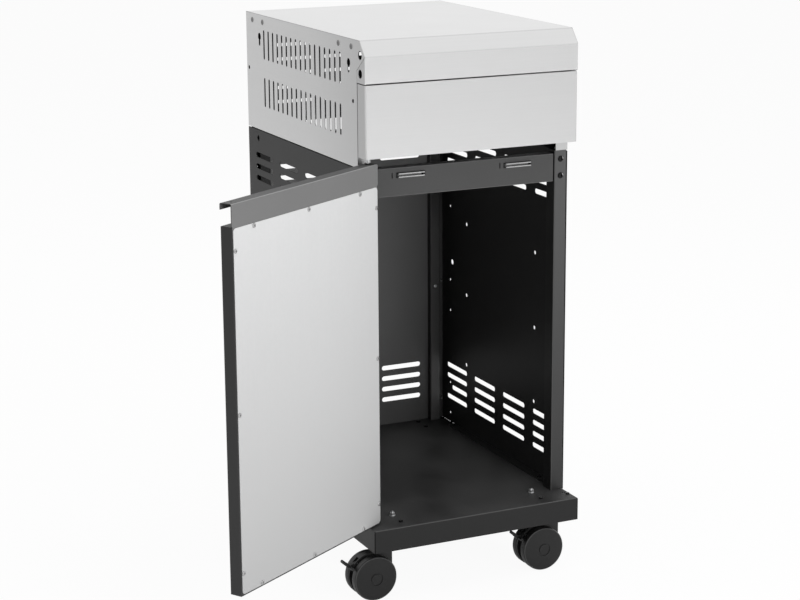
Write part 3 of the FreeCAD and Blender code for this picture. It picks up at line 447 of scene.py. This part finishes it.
# Painted light on the faces that look forward, fading with height.
front_look = {"painted_lit_face": (forward, 0.065), "light_fade": ((0.15, 0.2), (0.72, 1.0))}
rear_look = {"painted_lit_face": (forward, 0.095), "light_fade": ((0.5, 1.0), (0.63, 0.0))}
back_look = {"painted_lit_face": (forward, 0.165), "light_fade": ((0.16, 0.45), (0.36, 0.92), (0.62, 1.0))}
# The base pan: a weaker painted highlight on its level folds, and painted shade in its corner joints.
base_look = {"gloss": 0.30, "dusty": 0.9, "fold_highlight": (0.4, 0.12), "level_folds": True}
base_look["joint_shade_at"] = (base_corner[0] - skirt_shade_width, base_corner[1] - skirt_shade_width)
# Each sheet's tone paints part of the light and shade that falls on it.
dress(powder_coat("coat_front_posts", 0.007, **front_look), "front_left_post", "front_right_post")
dress(powder_coat("coat_rear_posts", 0.008, **rear_look), "rear_left_post", "rear_right_post")
# The rail's ends get painted joint shade beside the posts.
dress(powder_coat("coat_rail", 0.043, joint_shade_at=(posts_inside - rail_shade_width, 0.0)), "front_rail")
dress(powder_coat("coat_walls", 0.018, gloss=0.235, dusty=0.0), "left_side_wall", "right_side_wall")
dress(powder_coat("coat_back", 0.022, 0.36, **back_look), "back_panel")
dress(powder_coat("coat_base", 0.010, **base_look), "base_pan")

# %% [markdown]
# ## The door's coats
# The door hangs open, so its faces aren't square to the cabinet, and the recipe turns their normals back.
# Along the top, the handle is one folded strip whose inner face gets painted light, a paler tone. Its level
# folds get a stronger painted highlight, paler still.

# %% Coats on the door
door_opening = math.radians(148.1)
# The handle's inner face gets painted light, and its level folds a stronger painted highlight.
handle_look = {"dusty": 0.0, "painted_lit_face": ((0, 1, 0), 0.14), "fold_highlight": (1.0, 0.21), "level_folds": True}
dress(powder_coat("coat_door", 0.018, gloss=0.40, turned_by=door_opening), "door_skin")
dress(powder_coat("coat_handle", 0.02, turned_by=door_opening, **handle_look), "door_handle")

# %% [markdown]
# ## Galvanised steel
# The door's liner is plain zinc-coated sheet. Zinc freezes in small crystals, the spangle, each with its own
# slight grey. Voronoi cells are made for that: one random value per cell tints the metal and changes its
# roughness a little. The rolled sheet also has faint upright streaks, which are noise stretched along Z, and
# painted shade darkens it towards its foot.

# %% Galvanised liner
def galvanised(name, base, low, high):
    material, wire, place = finish(name)
    drift = wire.node("TexNoise", None, {"Vector": place, "Scale": 60.0}, "Color")
    wobble = wire.node("VectorMath", {"operation": "SCALE"}, {0: drift, "Scale": 0.006})
    shifted = wire.node("VectorMath", {"operation": "ADD"}, {0: place, 1: wobble})
    crystal = wire.node("TexVoronoi", None, {"Vector": shifted, "Scale": 210.0}, "Color")
    spangle = wire.node("SeparateColor", None, {"Color": crystal}, "Red")
    streaks = place.stretched((260.0, 260.0, 5.0)).noise(1.0, 3.0)
    clouds = place.noise(5.0, 3.0)
    grain = spangle * 0.2 + streaks * 0.4 + clouds * 0.4
    # Painted shade: darker towards the foot.
    foot_shade = ((high - place.part("Z")) * (1 / (high - low))).ramp((0.0, 0.0), (1.0, 1.0))
    tone = grain.between(grey(base * 0.95, -0.006), grey(base * 1.05, -0.002))
    tone = (foot_shade * 0.75).between(tone, grey(base * 0.62))
    relief = (streaks * 0.6 + spangle * 0.4).bump(0.06, 0.0002)
    roughness = 0.44 + grain * 0.12
    close(wire, {"Base Color": tone, "Metallic": 0.5, "Roughness": roughness, "Normal": relief})
    return material


liner_low, liner_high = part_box("door_liner")
dress(galvanised("galvanised_sheet", 0.69, liner_low[2], liner_high[2]), "door_liner")

# %% [markdown]
# ## Plated metal
# Fasteners and pins are zinc plated, rivets and the liner's screws are darker, as painted shade round their
# small heads, and the catches' pole strips are bright steel. They are too small to show a pattern, so one
# recipe with fine grains and a cloudy tarnish serves all of them.

# %% Plated metal
def plain_metal(name, base, rough, warmth=0.0):
    material, wire, place = finish(name)
    grains = place.noise(1400.0, 2.0)
    tarnish = place.noise(180.0, 3.0).ramp((0.4, 0.0), (0.75, 1.0))
    tone = grains.between(grey(base * 0.9, warmth), grey(base * 1.08, warmth))
    tone = (tarnish * 0.3).between(tone, grey(base * 0.75, warmth))
    roughness = rough + grains * 0.08 + tarnish * 0.1
    relief = grains.bump(0.1, 0.0001)
    close(wire, {"Base Color": tone, "Metallic": 1.0, "Roughness": roughness, "Normal": relief})
    return material


# The way that the painted glint faces on bolt heads.
glint_side = (0.62, -0.73, 0.28)
zinc = plain_metal("zinc_plate", 0.74, 0.26, -0.01)
# Rivets and the liner's screws are darker, as painted shade round their heads.
rivet_steel_painted_shade = plain_metal("rivet_steel_painted_shade", 0.24, 0.4)
screw_steel_painted_shade = plain_metal("screw_steel_painted_shade", 0.5, 0.3)
bright = plain_metal("bright_pole_steel", 0.5, 0.3)
# Black fasteners, with a painted glint on one shoulder and no painted fold highlight.
black_oxide = powder_coat("black_fasteners", 0.005, 0.14, 0.2, 0.0, fold_highlight=(0.0, 0.005), painted_glint=glint_side)
print("metals", [metal.name for metal in (zinc, rivet_steel_painted_shade, screw_steel_painted_shade, bright, black_oxide)])

# %% [markdown]
# ## Moulded plastic
# The catch housings, bushes, hoods and wheels are moulded plastic, with a fine grain from the mould and a few
# scuffs. The magnets are dull ferrite, which a pale mix of the same recipe gives. The wheels' round shoulders
# get a painted highlight, and their normals lie between those of face and tread.

# %% Moulded plastic
def moulded_plastic(name, tone, rough, gloss=0.5, shoulder_highlight=0.0):
    material, wire, place = finish(name)
    grains = place.noise(1100.0, 2.0)
    scuffs = place.stretched((60.0, 60.0, 260.0)).noise(1.0, 3.0).ramp((0.6, 0.0), (0.8, 1.0))
    tint = grains.between(grey(tone * 0.8), grey(tone * 1.2))
    tint = (scuffs * 0.2).between(tint, grey(tone + 0.03))
    if shoulder_highlight:
        # Painted highlight on the wheels' round shoulders.
        rim_highlight = abs(normals(wire).part("Y")).ramp((0.6, 0.0), (0.75, 1.0), (0.92, 1.0), (0.98, 0.0))
        tint = rim_highlight.between(tint, grey(shoulder_highlight))
    sockets = {"Base Color": tint, "Roughness": rough + grains * 0.1 + scuffs * 0.1}
    sockets["Normal"] = grains.bump(0.12, 0.0002)
    sockets["Specular IOR Level"] = gloss
    close(wire, sockets)
    return material


ferrite = moulded_plastic("sintered_ferrite", 0.2, 0.6)
nylon = moulded_plastic("black_nylon", 0.008, 0.42, 0.3)
hood_plastic = moulded_plastic("hood_plastic", 0.010, 0.40, 0.4)
# The wheels get a painted highlight on their shoulders.
wheel_plastic = moulded_plastic("wheel_plastic", 0.007, 0.32, 0.36, shoulder_highlight=0.045)
print("plastics", [plastic.name for plastic in (ferrite, nylon, hood_plastic, wheel_plastic)])

# %% [markdown]
# ## Which small piece gets which finish
# The small CAD pieces are many, and a list of names could be typed for each finish. But the end of a name
# already says what a piece is, so a short table of endings picks the finish.

# %% Finishes on the small pieces
by_ending = {
    "_catch_plates": bright,
    "_catch_magnet": ferrite,
    "_catch_housing": nylon,
    "_bushes": nylon,
    "_bush": nylon,
    "_caster_hood": hood_plastic,
    "_brake_lever": hood_plastic,
    "_wheel_front": wheel_plastic,
    "_wheel_back": wheel_plastic,
    "_caster_plate": zinc,
    "_caster_axle": zinc,
    "_pin": zinc,
    "_screws": zinc,
    "_rivets": rivet_steel_painted_shade,
    "_nuts": zinc,
    "_bolts": zinc,
}
for ending, material in by_ending.items():
    dress(material, *[name for name in nodes if name.endswith(ending)])
finished = [node for node in nodes.values() if node.data.materials]
print("finished", len(finished), "of", len(nodes), "CAD pieces")

# %% [markdown]
# ## Where the fasteners are
# CAD holds each kind of screw as one node with many separate solids, and plain round heads. The heads below get
# their recesses, and their places are read from those solids: a copy of the node is merged, split into its
# loose parts and measured, and the copies are deleted again. The crown is the middle of the points that stand
# highest along the way a head faces, so no place is typed in twice.

# %% Reading places from CAD
same_point = 0.000002
same_height = 0.00002


def pick(*pieces):
    """Select these objects and nothing else, the first as the active one."""
    bpy.ops.object.select_all(action="DESELECT")
    for piece in pieces:
        piece.select_set(True)
    bpy.context.view_layer.objects.active = pieces[0]


def solids_of(name):
    copy = nodes[name].copy()
    copy.data = nodes[name].data.copy()
    scene.collection.objects.link(copy)
    pick(copy)
    bpy.ops.object.mode_set(mode="EDIT")
    bpy.ops.mesh.select_all(action="SELECT")
    bpy.ops.mesh.remove_doubles(threshold=same_point)
    bpy.ops.mesh.separate(type="LOOSE")
    bpy.ops.object.mode_set(mode="OBJECT")
    loose = list(bpy.context.selected_objects)
    solids = [[corner.co.copy() for corner in part.data.vertices] for part in loose]
    bpy.ops.object.delete()
    return solids


def crowns(name, way_at):
    """Each fastener's crown and facing, and their length, from a rule that gives the facing at a place."""
    spots = []
    lengths = []
    for corners in solids_of(name):
        way = way_at(sum(corners, Vector()) / len(corners))
        heights = [corner.dot(way) for corner in corners]
        highest = max(heights) - same_height
        top = [corner for corner, height in zip(corners, heights) if height > highest]
        spots.append((sum(top, Vector()) / len(top), way))
        lengths.append((max(heights) - min(heights)) * 1000)
    print(name, len(spots), "places, length", round(max(lengths), 2), "mm")
    return spots, max(lengths)


fastener_nodes = [name for name in nodes if name.endswith(("_screws", "_bolts", "_rivets", "_nuts"))]
print("places can be read from", ", ".join(fastener_nodes))

# %% [markdown]
# ## A lathe
# Screws, rivets and wheels are turned parts, so one helper works as a lathe: a plane is merged to a single
# point, the point is extruded along half of the section, and the section is spun round Z. The masters are made
# in millimetres with their crown at the origin, because Booleans like numbers that are not tiny.

# %% Lathe
def turned(name, outline, steps=32):
    bpy.ops.object.select_all(action="DESELECT")
    bpy.ops.mesh.primitive_plane_add(size=1)
    piece = bpy.context.object
    piece.name = name
    bpy.ops.object.mode_set(mode="EDIT")
    bpy.ops.mesh.select_mode(type="VERT")
    bpy.ops.mesh.select_all(action="SELECT")
    bpy.ops.mesh.merge(type="CENTER")
    bpy.ops.transform.translate(value=(outline[0][0], 0, outline[0][1]))
    for (radius, height), (next_radius, next_height) in zip(outline, outline[1:]):
        step = (next_radius - radius, 0, next_height - height)
        bpy.ops.mesh.extrude_region_move(TRANSFORM_OT_translate={"value": step})
    bpy.ops.mesh.select_all(action="SELECT")
    bpy.ops.mesh.spin(steps=steps, angle=2 * math.pi, center=(0, 0, 0), axis=(0, 0, 1))
    bpy.ops.mesh.select_all(action="SELECT")
    bpy.ops.mesh.remove_doubles(threshold=0.001)
    bpy.ops.mesh.normals_make_consistent(inside=False)
    bpy.ops.object.mode_set(mode="OBJECT")
    print("turned", name, "with", len(piece.data.polygons), "faces")
    return piece


print("the lathe is ready")

# %% [markdown]
# ## A cutter
# Recesses and hexagons are cut, as an end mill or a forming punch would. A Boolean does that, and its tool is
# used up. Where pieces only touch, joining them as one object is enough.

# %% Cutter
def carved(piece, tool, operation):
    """The piece after a Boolean with a tool, which is used up."""
    pick(piece)
    change = piece.modifiers.new("carve", "BOOLEAN")
    change.operation = operation
    change.object = tool
    change.solver = "EXACT"
    bpy.ops.object.modifier_apply(modifier="carve")
    throw_away(tool)
    return piece


def together(piece, *others):
    pick(piece, *others)
    bpy.ops.object.join()
    return piece


def throw_away(piece):
    pick(piece)
    bpy.ops.object.delete()


print("the cutter is ready")

# %% [markdown]
# ## Copies in their places
# A master is modelled once and copied to every crown that CAD gives, with its own mesh, turned to face the
# right way and scaled from millimetres to metres. The copies of one kind are joined, which leaves one piece at
# the origin that rides on its body and stands for the CAD node.

# %% Copies
crease = math.radians(32)


def put_in_place(master, name, spots, body, node, material):
    copies = []
    for crown, way in spots:
        copy = master.copy()
        copy.data = master.data.copy()
        turn = way.to_track_quat("Z", "Y").to_matrix().to_4x4()
        copy.matrix_world = Matrix.Translation(crown) @ turn @ Matrix.Scale(0.001, 4)
        scene.collection.objects.link(copy)
        copies.append(copy)
    pick(*copies)
    bpy.ops.object.transform_apply(location=True, rotation=True, scale=True)
    if len(copies) > 1:
        bpy.ops.object.join()
    piece = bpy.context.object
    piece.name = name
    piece.data.name = name
    bpy.ops.object.shade_smooth_by_angle(angle=crease)
    piece.data.materials.clear()
    piece.data.materials.append(material)
    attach(piece, body)
    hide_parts(node)
    print(name, len(spots), "copies,", len(piece.data.polygons), "faces")


print("copies are smooth up to", round(math.degrees(crease)), "degrees")

# %% [markdown]
# ## Cross-recess pan screws
# The liner, the back panel and the post feet are held by pan screws with a cross recess, about 7 mm over the
# head. The head is turned with a rolled rim. The cross is a cube whose four sides are drawn out, and it is cut
# from the crown.

# %% Pan screw
screw_radius = 2.0
screw_head_radius = 3.6
screw_head = 1.6


def shank(radius, length, point, end):
    """The section of a plain shank with a bevelled tip, up to the underside of its head."""
    return [(0, -length), (radius - 0.4, -length), (radius, -length + point), (radius, end)]


def cross_bit(reach, width, depth):
    bpy.ops.object.select_all(action="DESELECT")
    bpy.ops.mesh.primitive_cube_add(size=1, scale=(width, width, 2 * depth))
    bit = bpy.context.object
    bpy.ops.object.transform_apply(location=False, rotation=False, scale=True)
    bpy.ops.object.mode_set(mode="EDIT")
    bpy.ops.mesh.select_mode(type="FACE")
    bpy.ops.mesh.select_all(action="DESELECT")
    bpy.ops.object.mode_set(mode="OBJECT")
    for face in bit.data.polygons:
        face.select = abs(face.normal.z) < 0.5
    bpy.ops.object.mode_set(mode="EDIT")
    bpy.ops.mesh.extrude_faces_move(TRANSFORM_OT_shrink_fatten={"value": reach - width / 2})
    bpy.ops.object.mode_set(mode="OBJECT")
    return bit


def pan_screw(length):
    outline = shank(screw_radius, length, point=0.6, end=-screw_head)
    outline += [(screw_head_radius, -screw_head), (screw_head_radius, -1.1)]
    outline += [(3.4, -0.65), (2.9, -0.28), (2.2, -0.06), (1.7, 0), (0, 0)]
    bit = cross_bit(reach=1.7, width=0.8, depth=0.9)
    return carved(turned("pan_screw", outline, 28), bit, "DIFFERENCE")


print("a pan screw is", 2 * screw_head_radius, "mm over the head")

# %% [markdown]
# ## Pan screws on sheets and posts
# A rule says which way each kind of screw faces. The liner's look into the cupboard, turned with the open door.
# The cabinet screws are two kinds in one node: black ones in the feet look up, and zinc ones high on the rear
# posts look to the front.

# %% Pan screws
backward = Vector((0, 1, 0))
upward = Vector((0, 0, 1))
liner_way = Vector((math.sin(door_opening), math.cos(door_opening), 0))
feet_below = 0.3
screw_kinds = [
    ("liner_screws", liner_way, "door", screw_steel_painted_shade),
    ("back_screws", backward, "cabinet", zinc),
    ("panel_screws", backward, "cabinet", zinc),
]
for node, way, body, material in screw_kinds:
    spots, length = crowns(node, lambda middle: way)
    master = pan_screw(length)
    name = node.replace("_screws", "_pan_screws")
    put_in_place(master, name, spots, body, node, material)
    throw_away(master)

node = "cabinet_screws"
spots, length = crowns(node, lambda middle: -backward if middle.z > feet_below else upward)
foot_spots = [spot for spot in spots if spot[0].z < feet_below]
post_spots = [spot for spot in spots if spot[0].z > feet_below]
master = pan_screw(length)
put_in_place(master, "foot_pan_screws", foot_spots, "cabinet", node, black_oxide)
put_in_place(master, "rear_post_pan_screws", post_spots, "cabinet", node, zinc)
throw_away(master)

# %% [markdown]
# ## Button bolts
# The front rail hangs on four black button-head bolts with a hexagon socket. The dome is turned, and a
# six-sided cylinder cuts the socket.

# %% Button bolts
button_radius = 5.2
button_head = 2.4


def hexagon(radius, low, high):
    bpy.ops.object.select_all(action="DESELECT")
    place = (0, 0, (low + high) / 2)
    turn = (0, 0, math.pi / 6)
    size = {"vertices": 6, "radius": radius, "depth": high - low}
    bpy.ops.mesh.primitive_cylinder_add(location=place, rotation=turn, **size)
    bpy.ops.object.transform_apply(location=True, rotation=True, scale=True)
    return bpy.context.object


def button_bolt(length):
    outline = shank(2.4, length, point=0.5, end=-button_head)
    outline += [(button_radius, -button_head), (5.15, -1.9), (4.8, -1.2)]
    outline += [(4.2, -0.62), (3.4, -0.2), (2.6, 0), (0, 0)]
    socket = hexagon(radius=2.2, low=-1.6, high=1)
    return carved(turned("button_bolt", outline, 36), socket, "DIFFERENCE")


spots, length = crowns("rail_bolts", lambda middle: -backward)
master = button_bolt(length)
put_in_place(master, "rail_button_bolts", spots, "cabinet", "rail_bolts", black_oxide)
throw_away(master)

# %% [markdown]
# ## Blind rivets
# The worktop is riveted to the side panels. A blind rivet is set by pulling a mandrel through it, which leaves
# a small dimple in the middle of its low dome, so the section dips before it reaches the axis.

# %% Rivets
rivet_radius = 4.8
rivet_head = 1.2


def blind_rivet(length):
    outline = shank(2.0, length, point=0.4, end=-rivet_head)
    outline += [(rivet_radius, -rivet_head), (4.7, -0.8), (4.2, -0.38), (3.4, -0.1), (2.6, 0)]
    outline += [(1.9, -0.05), (1.5, -0.3), (1.3, -0.8), (1.0, -0.95), (0, -1.0)]
    return turned("blind_rivet", outline, 32)


spots, length = crowns("side_rivets", lambda middle: Vector((math.copysign(1, middle.x), 0, 0)))
master = blind_rivet(length)
put_in_place(master, "side_blind_rivets", spots, "cabinet", "side_rivets", rivet_steel_painted_shade)
throw_away(master)

# %% [markdown]
# ## Hexagon heads
# The casters and the box are fastened with hexagon heads. A real one is cut from bar and then turned, so its
# corners end in curved bevels. That shape is what a six-sided prism and a turned cone have in common, an
# intersecting Boolean.

# %% Hexagon bolt
def hex_head(radius, low, high):
    """A hexagon between two heights, with its upper corners turned off."""
    wide = radius * 1.05
    bevel = (high - low) * 0.22
    outline = [(0, low), (wide, low), (wide, high - bevel), (radius * 0.84, high), (0, high)]
    return carved(hexagon(radius, low, high), turned("bevel", outline, 36), "INTERSECT")


def hex_bolt(length):
    root = -2.2
    shaft = turned("shank", shank(2.4, length, point=0.5, end=root) + [(0, root)], 24)
    return together(hex_head(radius=3.8, low=-2.4, high=0), shaft)


print("a hexagon bolt can be made to length")

# %% [markdown]
# ## Caster bolts and studs
# Most caster bolts are black hexagons, but one fastener of each front caster stands up through the deck as a
# bright stud with a washer and a nut. It is the inner rear one, where the closed door clears it. From a small
# distance a thread looks like a row of rings, and rings can be turned.

# %% Caster bolts and studs
plate_low, plate_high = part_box("front_right_caster_plate")
front_caster_x = (plate_low[0] + plate_high[0]) / 2
front_caster_y = (plate_low[1] + plate_high[1]) / 2


def threaded(radius, low, high, pitch=0.8):
    outline = [(0, low), (radius, low)]
    for ring in range(int((high - low - 0.8) / pitch)):
        height = low + ring * pitch
        outline += [(radius - 0.35, height + pitch / 2), (radius, height + pitch)]
    outline += [(radius - 0.3, high - 0.2), (radius - 0.7, high), (0, high)]
    return turned("threaded", outline, 24)


def stud_nut(length):
    deck = -2.4
    ring = [(2.4, deck), (5.2, deck), (5.2, -1.7), (5.0, -1.5), (2.4, -1.5), (2.4, deck)]
    washer = turned("washer", ring, 32)
    nut = hex_head(radius=4.6, low=-1.5, high=3.4)
    return together(nut, washer, threaded(radius=2.4, low=-length, high=4.9))


def stands_up(crown):
    return front_caster_y < crown.y < 0 and abs(crown.x) < front_caster_x


node = "caster_bolts"
spots, length = crowns(node, lambda middle: upward)
flat = [spot for spot in spots if not stands_up(spot[0])]
studs = [spot for spot in spots if stands_up(spot[0])]
master = hex_bolt(length)
put_in_place(master, "caster_hex_bolts", flat, "cabinet", node, black_oxide)
throw_away(master)
master = stud_nut(length)
put_in_place(master, "caster_stud_nuts", studs, "cabinet", node, zinc)
throw_away(master)

# %% [markdown]
# ## Box bolts
# The stainless box stands on the four posts, and the same bolts hold it there, in bright zinc. They could be
# copies of the caster bolts, but their length differs, so a new master is made from the same recipe.

# %% Box bolts
spots, length = crowns("box_bolts", lambda middle: upward)
master = hex_bolt(length)
put_in_place(master, "box_hex_bolts", spots, "cabinet", "box_bolts", zinc)
throw_away(master)

# %% [markdown]
# ## Caster nuts
# Under the plates each bolt ends in a plain nut, which is a hexagon with a bore and a turned bevel on the side
# that shows. The turned section is a ring, so one intersection gives both.

# %% Nuts
def plain_nut(height):
    bore = 2.45
    outline = [(bore, -height), (4.7, -height), (4.7, -0.7), (3.8, 0), (2.9, 0), (bore, -0.4), (bore, -height)]
    return carved(hexagon(radius=4.4, low=-height, high=0), turned("bevel", outline, 36), "INTERSECT")


spots, length = crowns("caster_nuts", lambda middle: -upward)
master = plain_nut(length)
put_in_place(master, "caster_hex_nuts", spots, "cabinet", "caster_nuts", zinc)
throw_away(master)

# %% [markdown]
# ## A caster wheel
# Each caster has two moulded wheels with a rounded tread, a slightly domed face and a ring round the hub.
# They are turned on the same lathe, with more steps than the screws, because their outline shows against the
# pale floor. A fine line round the middle of the tread is where the two halves of the mould met.

# %% Wheel
wheel_radius = 38.0
wheel_inside = 7.0
wheel_face = 22.0
wheel_dome = 2.0
wheel_shoulder = 3.0
rim = wheel_radius - wheel_shoulder
wheel_bore = 4.05
bore_end = 22.5
bore_bevel = 0.4
hub = 10.0
ring_edge = 1.25
ring_lip = 1.2
ring_floor = 1.1


def domed(radius):
    return wheel_face + wheel_dome * (1 - (radius / rim) ** 2)


def rounded_corner(height, start):
    """Points on a quarter circle round the middle of a shoulder, from an angle in degrees onwards."""
    turns = [math.radians(start + step * 15) for step in range(7)]
    across = [rim + wheel_shoulder * math.cos(turn) for turn in turns]
    return list(zip(across, [height + wheel_shoulder * math.sin(turn) for turn in turns]))


crown_height = domed(hub - 1)
parting = (wheel_inside + wheel_face) / 2
lip_height = domed(hub) - 0.15
floor_height = domed(hub) - 1
outline = [(0, bore_end), (wheel_bore, bore_end)]
outline += [(wheel_bore, wheel_inside + bore_bevel), (wheel_bore + bore_bevel, wheel_inside)]
outline += rounded_corner(wheel_inside + wheel_shoulder, -90)
outline += [(wheel_radius, parting - 0.25), (wheel_radius - 0.2, parting), (wheel_radius, parting + 0.25)]
outline += rounded_corner(wheel_face - wheel_shoulder, 0)
outline += [(radius, domed(radius)) for radius in (32, 29, 26, 23, 20, 17, 14, hub + 1.6, hub + ring_edge)]
outline += [(hub + ring_lip, lip_height), (hub + ring_floor, floor_height), (hub - ring_floor, floor_height)]
outline += [(hub - ring_lip, lip_height), (hub - ring_edge, crown_height), (0, crown_height)]
master = turned("caster_wheel", [(radius, height - crown_height) for radius, height in outline], 96)

# %% [markdown]
# ## Wheels on their axles
# The two wheels of a caster look away from each other and turn separately, so each is a piece of its own.
# Its place is read from the box round the CAD wheel.

# %% Wheels
for corner in ("front_left", "front_right", "rear_left", "rear_right"):
    for side, way in (("front", -backward), ("back", backward)):
        node = corner + "_wheel_" + side
        low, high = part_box(node)
        face = low[1] if side == "front" else high[1]
        crown = Vector(((low[0] + high[0]) / 2, face, (low[2] + high[2]) / 2))
        body = corner + "_roller_" + side
        put_in_place(master, node + "_turned", [(crown, way)], body, node, wheel_plastic)
throw_away(master)
